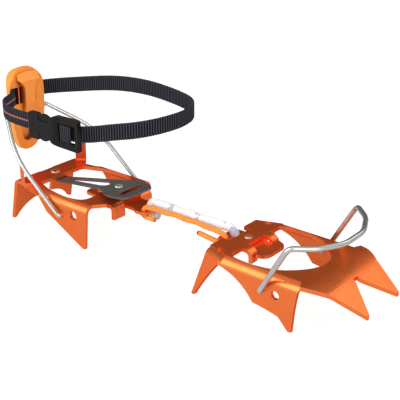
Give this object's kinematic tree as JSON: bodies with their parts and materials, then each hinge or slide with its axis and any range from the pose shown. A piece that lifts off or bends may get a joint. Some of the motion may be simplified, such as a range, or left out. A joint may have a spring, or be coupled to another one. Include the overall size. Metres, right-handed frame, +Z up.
{
  "type": "automatic crampon",
  "caption": "Step-in crampon with folded orange toothed plates, a wire toe bail, a heel lever on a wire bail, an ankle strap and a cord link with an adjustable bar.",
  "frame": {"origin": "middle of the bounding box, on the ground under the tooth tips", "axes": "+X towards the toe, +Y to the left, +Z up"},
  "size_m": [0.3532, 0.1063, 0.1225],
  "materials": {
    "anodised": "satin orange anodised sheet",
    "spring_steel": "dark coated spring steel sheet",
    "rivet": "plain pressed steel rivet",
    "wire": "bright drawn stainless wire",
    "lever": "moulded orange plastic",
    "white_cord": "white braided cord with grey-blue flecks",
    "orange_cord": "orange braided cord",
    "cord_end": "heat sealed cord end",
    "webbing": "black ribbed webbing",
    "thread": "grey bar-tack thread",
    "buckle": "black moulded acetal"
  },
  "bodies": {
    "heel": {"heel_plate": "anodised", "lock_rivet": "rivet"},
    "lock": {"lock_plate": "spring_steel", "lock_stud": "rivet"},
    "bar": {"link_bar": "anodised"},
    "link_cord": {"white_strand": "white_cord", "orange_strand": "orange_cord", "cord_tip": "cord_end"},
    "front": {"front_plate": "anodised", "link_bracket": "anodised", "stop_rivet": "rivet"},
    "toe_bail": {"toe_bail": "wire"},
    "heel_bail": {"heel_bail": "wire"},
    "lever": {"heel_lever": "lever", "strap_loop": "webbing", "strap_fold": "webbing", "strap_stub": "webbing", "stub_stitch": "thread", "buckle_female": "buckle"},
    "buckle_male": {"buckle_male": "buckle"}
  },
  "joints": [
    {"name": "lock_close", "type": "hinge", "parent": "heel", "child": "lock", "pos_m": [-0.13787, 0, 0.0326], "axis": [0, 1, 0], "range_deg": [0, 2.6]},
    {"name": "length_adjust", "type": "slide", "parent": "heel", "child": "bar", "axis": [1, 0, 0], "range_m": [0, 0.021]},
    {"name": "cord_rear", "type": "hinge", "parent": "bar", "child": "link_cord", "pos_m": [-0.02587, 0, 0.03245], "axis": [0, 1, 0], "range_deg": [-25, 20]},
    {"name": "cord_front", "type": "hinge", "parent": "link_cord", "child": "front", "pos_m": [0.04613, 0, 0.03245], "axis": [0, 1, 0], "range_deg": [-25, 20]},
    {"name": "toe_bail_swing", "type": "hinge", "parent": "front", "child": "toe_bail", "pos_m": [0.10663, 0, 0.025], "axis": [0, 1, 0], "range_deg": [-110, 25]},
    {"name": "heel_bail_swing", "type": "hinge", "parent": "heel", "child": "heel_bail", "pos_m": [-0.09097, 0, 0.0223], "axis": [0, 1, 0], "range_deg": [-20, 15]},
    {"name": "lever_throw", "type": "hinge", "parent": "heel_bail", "child": "lever", "pos_m": [-0.17023, 0, 0.08649], "axis": [0, 1, 0], "range_deg": [-95, 5]},
    {"name": "buckle_release", "type": "slide", "parent": "lever", "child": "buckle_male", "axis": [1, 0, 0], "range_m": [-0.012, 0]}
  ]
}
